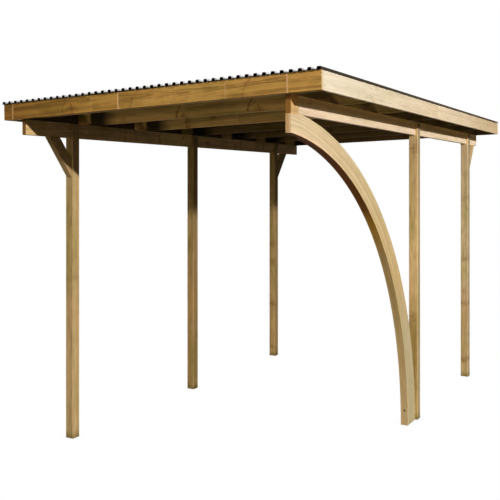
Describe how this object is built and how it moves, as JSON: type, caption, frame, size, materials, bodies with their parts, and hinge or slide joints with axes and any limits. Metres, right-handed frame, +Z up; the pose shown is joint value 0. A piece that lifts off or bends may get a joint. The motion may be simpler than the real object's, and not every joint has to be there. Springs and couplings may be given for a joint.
{
  "type": "carport",
  "caption": "Open timber carport: notched posts, side beams and knee braces carry a low-pitched roof of ribbed sheets; a tall laminated arch stands in for the front right post.",
  "frame": {"origin": "on the ground under the middle of the roof", "axes": "+X to the right seen from the entrance, +Y from the entrance to the back, +Z up"},
  "size_m": [3.103, 5.38, 3.1954],
  "materials": {
    "post_pine": "planed pressure-treated pine, tan with a green tinge and knots",
    "beam_pine": "planed pressure-treated pine",
    "arch_pine": "laminated pine, pale honey",
    "brace_pine": "planed pressure-treated pine",
    "joist_pine": "planed pressure-treated pine, olive brown",
    "fascia_pine": "planed pressure-treated pine, golden with finger joints",
    "roof_sheet": "trapezoidal sheet, pale grey above, black below and at the cut ends"
  },
  "bodies": {
    "root": {"post_front_left": "post_pine", "post_middle_left": "post_pine", "post_back_left": "post_pine", "post_middle_right": "post_pine", "post_back_right": "post_pine", "beam_left": "beam_pine", "beam_right": "beam_pine", "arch_brace": "arch_pine", "brace_front_left": "brace_pine", "brace_back_left": "brace_pine", "brace_back_right": "brace_pine", "joist_1": "joist_pine", "joist_2": "joist_pine", "joist_3": "joist_pine", "joist_4": "joist_pine", "joist_5": "joist_pine", "joist_6": "joist_pine", "joist_7": "joist_pine", "fascia_front": "fascia_pine", "fascia_back": "fascia_pine", "fascia_left": "fascia_pine", "fascia_right": "fascia_pine", "roof_sheet_left": "roof_sheet", "roof_sheet_middle": "roof_sheet", "roof_sheet_right": "roof_sheet"}
  },
  "joints": []
}
